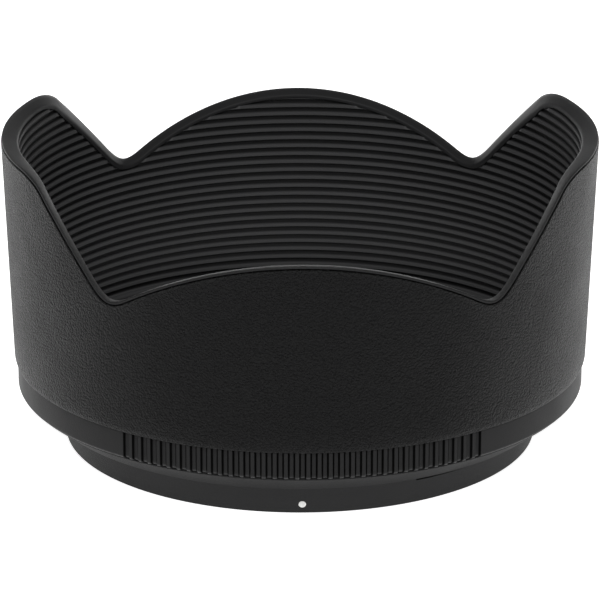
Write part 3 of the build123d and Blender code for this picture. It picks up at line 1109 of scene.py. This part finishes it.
def floor_screw():
    """A countersunk screw with a cross recess, standing in the floor at turn 0."""
    origin = Vector((0, -SCREW_CIRCLE, FLOOR_TOP))
    up, across = Vector((0, 0, 1)), Vector((1, 0, 0))
    profile = [(0.8, -3.4), (0.8, -0.64), (1.4, -0.07), (1.38, -0.02), (1.3, 0.0)]
    mesh = lathe(profile, 24, origin, up, across)
    recess = [
        box_block(origin, across, Vector((0, 1, 0)), up, (1.5, 0.34, 1.0)),
        box_block(origin, across, Vector((0, 1, 0)), up, (0.34, 1.5, 1.0)),
        box_block(origin, across, Vector((0, 1, 0)), up, (0.66, 0.66, 1.3)),
    ]
    for block in recess:
        mesh = combined("floor_screw", mesh, joined("recess", [block]), "DIFFERENCE")
    return mesh


def spring_screw():
    """A flat-headed screw with a slot, pointing outwards at turn 0."""
    inner_face = LEAF_MIDDLE - LEAF_THICKNESS / 2 - LEAF_CLEARANCE
    origin = Vector((0, -inner_face, LEAF_BOTTOM + LEAF_HEIGHT / 2))
    inward, across = Vector((0, 1, 0)), Vector((1, 0, 0))
    profile = [(0.6, -1.7), (0.6, 0.0), (1.15, 0.0), (1.15, 0.2), (1.1, 0.27), (1.0, 0.3)]
    mesh = lathe(profile, 24, origin, inward, across)
    slot = box_block(
        origin + inward * 0.3, across, Vector((0, 0, 1)), inward, (3.0, 0.3, 0.3)
    )
    return combined("spring_screw", mesh, joined("slot", [slot]), "DIFFERENCE")


floor_turns = [SCREW_FIRST_TURN + 90 + 60 * i for i in range(6)]
finished(
    "floor_screw_set",
    turned_copies(floor_screw(), floor_turns, SCREW_BLACK),
    "hood",
    ["floor_screws"],
    SCREW_BLACK,
)
leaf_screw_turns = [turn - LEAF_SPAN / 2 + LEAF_SCREW_TURN for turn in LEAF_TURNS]
finished(
    "leaf_screw_set",
    turned_copies(spring_screw(), leaf_screw_turns, SCREW_BLACK),
    "hood",
    ["spring_screws"],
    SCREW_BLACK,
)


def leaf_spring(first_turn):
    """A leaf of spring strip that starts at that turn, with its click bump near the free end."""
    count = LEAF_COLUMNS
    half = LEAF_THICKNESS / 2
    soft = LEAF_EDGE
    centre_line = []
    for turn in steps(0, LEAF_SPAN, count):
        from_bump = math.radians(turn - LEAF_BUMP_TURN) * LEAF_MIDDLE
        share = max(0.0, 1 - (from_bump / LEAF_BUMP_REACH) ** 2)
        rise = LEAF_BUMP_RISE * share * share * (3 - 2 * share)
        centre_line.append((first_turn + turn, LEAF_MIDDLE - rise * LEAF_BUMP_TRIM))
    spine = [around(turn, radius, 0) / MM for turn, radius in centre_line]
    low, high = LEAF_BOTTOM, LEAF_BOTTOM + LEAF_HEIGHT
    section = corner((half - soft, low + soft), soft, -90, 0, 2)
    section += corner((half - soft, high - soft), soft, 0, 90, 2)
    section += corner((soft - half, high - soft), soft, 90, 180, 2)
    section += corner((soft - half, low + soft), soft, 180, 270, 2)
    points = []
    for i, spot in enumerate(spine):
        ahead = spine[min(i + 1, count)] - spine[max(i - 1, 0)]
        outward = Vector((ahead.y, -ahead.x, 0)).normalized()
        points += [(spot + outward * r + Vector((0, 0, z))) * MM for r, z in section]
    rows = len(section)
    faces = [tuple(reversed(range(rows))), tuple(range(count * rows, (count + 1) * rows))]
    for i in range(count):
        for k in range(rows):
            a, b = i * rows + k, i * rows + (k + 1) % rows
            faces.append((a, a + rows, b + rows, b))
    mesh = joined("leaf", [(points, faces)])
    hole = radial_rod(
        first_turn + LEAF_SCREW_TURN,
        LEAF_MIDDLE - 1,
        LEAF_MIDDLE + 1,
        LEAF_HOLE_RADIUS,
        (low + high) / 2,
    )
    return combined("leaf", mesh, joined("hole", [hole]), "DIFFERENCE")


for number, turn in enumerate(LEAF_TURNS, start=1):
    finished(
        f"click_leaf_{number}",
        leaf_spring(turn - LEAF_SPAN / 2),
        f"click_spring_{number}",
        [f"click_spring_{number}"],
        SPRING_STEEL,
        35,
    )


# ---------------------------------------------------------------- studio
def studio_floor():
    """A pale light table, a little uneven in tone, lit softly from below."""
    mesh = bpy.data.meshes.new("studio_floor")
    half = 6.0
    corners = [(-half, -half, 0), (half, -half, 0), (half, half, 0), (-half, half, 0)]
    mesh.from_pydata(corners, [], [(0, 1, 2, 3)])
    material = bpy.data.materials.new("light_table")
    material.use_nodes = True
    tree = material.node_tree
    shader = tree.nodes["Principled BSDF"]
    place = add_node(tree, "ShaderNodeTexCoord").outputs["Object"]
    tone = spread(tree, noise(tree, place, 3.0), 0.0, 1.0)
    tree.links.new(blended(tree, tone, grey(0.78), grey(0.80)), shader.inputs["Base Color"])
    shader.inputs["Roughness"].default_value = 0.9
    shader.inputs["Specular IOR Level"].default_value = 0.1
    shader.inputs["Emission Color"].default_value = (1.0, 1.0, 1.0, 1.0)
    shader.inputs["Emission Strength"].default_value = 0.95
    mesh.materials.append(material)
    new_object("studio_floor", mesh)


def backdrop():
    """A low bright card that stands behind the hood, above what the camera takes in."""
    mesh = bpy.data.meshes.new("backdrop")
    half, back, top = 2.5, 2, 0.45
    corners = [(-half, back, 0), (half, back, 0), (half, back, top), (-half, back, top)]
    mesh.from_pydata(corners, [], [(0, 1, 2, 3)])
    material = bpy.data.materials.new("bright_card")
    material.use_nodes = True
    shader = material.node_tree.nodes["Principled BSDF"]
    shader.inputs["Base Color"].default_value = grey(0.8)
    shader.inputs["Emission Color"].default_value = (1.0, 1.0, 1.0, 1.0)
    shader.inputs["Emission Strength"].default_value = 1.2
    mesh.materials.append(material)
    new_object("backdrop", mesh)


def softbox(name, place, size, watts):
    """A square or oblong soft light that faces the hood."""
    light = bpy.data.lights.new(name, "AREA")
    light.shape = "RECTANGLE"
    light.size, light.size_y = size
    light.energy = watts
    holder = bpy.data.objects.new(name, light)
    bpy.context.scene.collection.objects.link(holder)
    holder.location = place
    aim = Vector((0, 0, 0.025)) - Vector(place)
    holder.rotation_euler = aim.to_track_quat("-Z", "Y").to_euler()


def studio_light():
    world = bpy.data.worlds.new("studio")
    bpy.context.scene.world = world
    world.use_nodes = True
    background = world.node_tree.nodes["Background"]
    background.inputs["Color"].default_value = (1, 1, 1, 1)
    background.inputs["Strength"].default_value = 0.2
    softbox("overhead", (0, 0.1, 1.3), (1.2, 1.2), 3)
    softbox("front_top", (0, -0.9, 1.1), (0.6, 0.6), 15)


def camera():
    """A long lens a little above the hood, looking at its middle."""
    azimuth, elevation = math.radians(-0.53), math.radians(19.444)
    distance = 0.7007
    target = Vector((0, 0, 0.0232))
    back = Vector(
        (
            math.sin(azimuth) * math.cos(elevation),
            -math.cos(azimuth) * math.cos(elevation),
            math.sin(elevation),
        )
    )
    data = bpy.data.cameras.new("camera")
    data.sensor_width = 36
    data.lens = 240.55
    data.clip_start = 0.01
    holder = bpy.data.objects.new("camera", data)
    bpy.context.scene.collection.objects.link(holder)
    holder.location = target + back * distance
    holder.rotation_euler = (-back).to_track_quat("-Z", "Y").to_euler()
    bpy.context.scene.camera = holder


studio_floor()
backdrop()
studio_light()
camera()
bpy.context.scene.view_settings.view_transform = "Standard"
